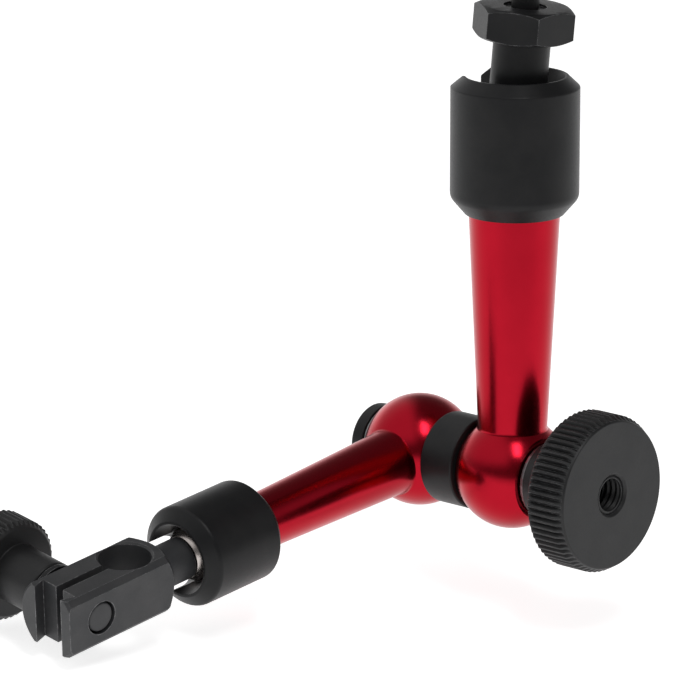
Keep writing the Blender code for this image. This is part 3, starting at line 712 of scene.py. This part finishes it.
def plain_nodes():
    """CAD nodes whose shape is right keep it and get a real finish."""
    finishes = {"head_washer": PLAIN_STEEL, "knob_washer": PLAIN_STEEL,
                "clamp_washer": BLACK, "base_ball_cup": PLAIN_STEEL,
                "tip_ball_cup": PLAIN_STEEL, "base_push_rod": PLAIN_STEEL,
                "tip_push_rod": PLAIN_STEEL, "ring_key": PLAIN_STEEL, "ring_pin": PLAIN_STEEL,
                "base_disc_spring_1": PLAIN_STEEL, "base_disc_spring_2": PLAIN_STEEL,
                "tip_disc_spring": PLAIN_STEEL}
    for name, finish in finishes.items():
        node = frame["nodes"][name]
        for slot in node.material_slots:
            slot.material = finish


# Camera, floor and light.

CAMERA_YAW = 43.1
CAMERA_PITCH = 14.15
CAMERA_DISTANCE = 766.6
CAMERA_RIGHT = -25.1
CAMERA_UP = 18.8
CAMERA_LENS = 258.2


def camera_axes():
    """Right, up and forward in the base arm's frame."""
    yaw = math.radians(CAMERA_YAW)
    pitch = math.radians(CAMERA_PITCH)
    level = Vector((-math.sin(yaw), math.cos(yaw), 0.0))
    right = Vector((math.cos(yaw), math.sin(yaw), 0.0))
    upright = Vector((0.0, 0.0, 1.0))
    forward = level * math.cos(pitch) - upright * math.sin(pitch)
    up = upright * math.cos(pitch) + level * math.sin(pitch)
    return right, up, forward


def camera():
    right, up, forward = camera_axes()
    spot = (right * CAMERA_RIGHT + up * CAMERA_UP - forward * CAMERA_DISTANCE) * MM
    turned = Matrix((right, up, -forward)).transposed().to_4x4()
    turned.translation = spot
    data = bpy.data.cameras.new("camera")
    data.sensor_width = 36.0
    data.lens = CAMERA_LENS
    data.clip_start = 0.01
    data.clip_end = 20.0
    item = bpy.data.objects.new("camera", data)
    bpy.context.collection.objects.link(item)
    item.matrix_world = BASE_FRAME @ turned
    bpy.context.scene.camera = item


def floor():
    """Pale floor under the object, with painted light: it glows, and the painted glow grows darker
    away from the backdrop, towards the front.
    """
    forward = camera_axes()[2]
    level = BASE_FRAME.to_3x3() @ forward
    level.z = 0.0
    placed = frame_at((BASE_HUB.x, BASE_HUB.y, cad_box[0].z - 0.002), (0.0, 0.0, 1.0),
                      level.cross(Vector((0.0, 0.0, 1.0))))
    side = 6.0
    work = bmesh.new()
    corners = [work.verts.new((x * side, y * side, 0.0))
               for x, y in ((-1, -1), (1, -1), (1, 1), (-1, 1))]
    work.faces.new(corners)
    item = new_object("floor", finished_mesh(work, "floor"), placed)
    make = Nodes("floor_white_painted_glow")
    where = make.object_coordinates()
    shade = make.noise(where, 3.0, 2.0)
    make.link(make.mix(shade, (0.88, 0.88, 0.88, 1.0), (0.9, 0.9, 0.9, 1.0)), "Base Color")
    axes = make.add("ShaderNodeSeparateXYZ", {}, {}, {"Vector": where})
    # Painted light falloff: the floor's glow is strongest behind the hub and fades towards the
    # front.
    front = make.ranged(axes.outputs["Y"], -1.0, 0.0, 1.0, 0.0)
    ramp = make.add("ShaderNodeValToRGB", {}, {}, {"Fac": front})
    stops = ramp.color_ramp.elements
    stops[0].position = 0.10
    stops[0].color = (0.72, 0.72, 0.72, 1.0)
    stops[1].position = 1.0
    stops[1].color = (0.10, 0.10, 0.10, 1.0)
    for place, painted_glow_there in ((0.17, 0.44), (0.33, 0.33), (0.65, 0.17)):
        stop = stops.new(place)
        stop.color = (painted_glow_there, painted_glow_there, painted_glow_there, 1.0)
    # The floor glows though it is no lamp: this emission is painted light.
    make.link(ramp.outputs["Color"], "Emission Color")
    make.constants(Roughness=0.9, Specular_IOR_Level=0.1, Emission_Strength=1.0)
    item.data.materials.append(make.material)


def soft_light(name, direction, distance, width, height, power):
    """An area light aimed at the hubs; direction is in camera axes: right, up, back."""
    right, up, forward = camera_axes()
    turned = BASE_FRAME.to_3x3()
    away = turned @ (right * direction[0] + up * direction[1] - forward * direction[2])
    away.normalize()
    data = bpy.data.lights.new(name, "AREA")
    data.shape = "RECTANGLE"
    data.size = width
    data.size_y = height
    data.energy = power
    item = bpy.data.objects.new(name, data)
    bpy.context.collection.objects.link(item)
    item.matrix_world = (Matrix.Translation(BASE_HUB + away * distance)
                         @ away.to_track_quat("Z", "Y").to_matrix().to_4x4())


class WorldNodes(Nodes):
    """The same short way to build the studio's surroundings."""

    def __init__(self, world):
        self.tree = world.node_tree
        self.shader = self.tree.nodes["Background"]

    def along(self, direction, axis):
        """How far a direction points along one of the studio's axes."""
        node = self.add("ShaderNodeVectorMath", {"operation": "DOT_PRODUCT"}, {1: axis},
                        {0: direction})
        return node.outputs["Value"]

    def soft_step(self, value, low, high, level=1.0):
        node = self.add("ShaderNodeMapRange", {"interpolation_type": "SMOOTHSTEP"},
                        {"From Min": low, "From Max": high, "To Min": 0.0, "To Max": level},
                        {"Value": value})
        return node.outputs["Result"]


def surroundings():
    """A dim room with a large soft wall on the left, a faint one on the right, a pale backdrop."""
    world = bpy.data.worlds.new("studio")
    world.use_nodes = True
    bpy.context.scene.world = world
    make = WorldNodes(world)
    right, up, forward = camera_axes()
    turned = BASE_FRAME.to_3x3()
    towards = make.add("ShaderNodeTexCoord").outputs["Generated"]
    across = make.along(towards, turned @ right)
    above = make.along(towards, turned @ up)
    behind = make.along(towards, turned @ forward)
    left_wall = make.maths("MULTIPLY", make.soft_step(make.maths("MULTIPLY", across, -1.0),
                                                      -0.02, 0.32, 0.62),
                           make.soft_step(above, 0.0, 0.42))
    right_wall = make.maths("MULTIPLY", make.soft_step(across, 0.55, 0.9, 0.28),
                            make.soft_step(make.maths("MULTIPLY", above, -1.0), -0.85, -0.5))
    backdrop = make.maths("MULTIPLY", make.soft_step(behind, 0.35, 0.8, 0.75),
                          make.soft_step(make.maths("MULTIPLY", above, -1.0), -0.7, -0.35))
    total = make.maths("ADD", make.maths("ADD", left_wall, right_wall), backdrop)
    total = make.maths("ADD", total, 0.13)
    make.tree.links.new(total, make.shader.inputs["Color"])
    make.shader.inputs["Strength"].default_value = 1.0


def lights():
    surroundings()
    bpy.context.scene.view_settings.view_transform = "Standard"
    soft_light("key", (0.13, 0.70, 0.70), 0.9, 0.19, 0.42, 2.0)


def build():
    arm_piece("base_arm_shape", BASE_FRAME, "base_arm", 4.966, 0.0487, 41.2, 6.3, 44.9, 2.35)
    arm_piece("tip_arm_shape", TIP_FRAME, "tip_arm", 5.381, -0.029, 39.8, 4.6, 42.2, 2.35)
    base_cap()
    tip_cap()
    ball_piece("base_ball_shape", STUD_FRAME, "base_ball", 6.0, 4.35, 2.3)
    ball_piece("tip_ball_shape", CLAMP_FRAME, "tip_ball", 4.5, 3.3, 1.8)
    mount_stud()
    spindle()
    spacer_ring()
    knob_thread(lock_knob())
    stem_clamp()
    clamp_screw()
    clamp_knob()
    plain_nodes()
    camera()
    floor()
    lights()


build()
